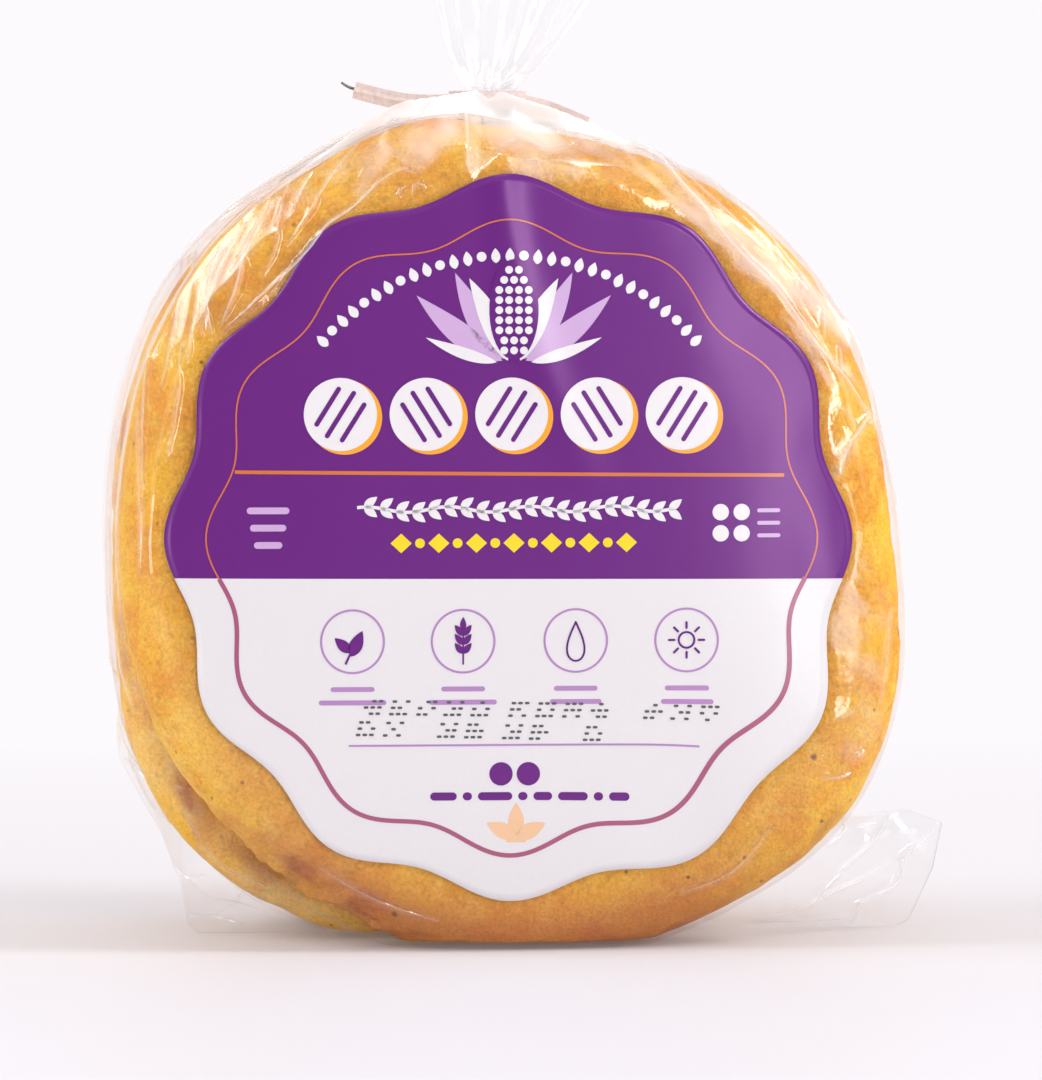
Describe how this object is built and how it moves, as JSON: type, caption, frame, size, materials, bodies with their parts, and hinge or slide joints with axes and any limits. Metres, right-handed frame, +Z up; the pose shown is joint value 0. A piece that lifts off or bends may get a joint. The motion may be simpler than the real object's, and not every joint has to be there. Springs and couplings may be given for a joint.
{
  "type": "packet of stuffed corn cakes",
  "caption": "Clear twist-tied bag holding a stack of round stuffed corn cakes that stands on edge, with a large round label with a wavy edge on its front.",
  "frame": {"origin": "on the surface the bag stands on, under the centre of the stack of cakes", "axes": "+Z up from the flat the bag stands on to the tail, -Y out of the label, +X to the right seen from the front"},
  "size_m": [0.1101, 0.0562, 0.1427],
  "materials": {
    "film": "clear thin plastic film, glossy and creased",
    "cake": "toasted corn dough, grainy and matt, golden at the rim",
    "label_print": "satin printed label, purple above and white below",
    "tie_strip": "pinkish beige paper strip over a steel wire"
  },
  "bodies": {
    "root": {"bag": "film", "label": "label_print", "tie": "tie_strip"}
  },
  "joints": []
}
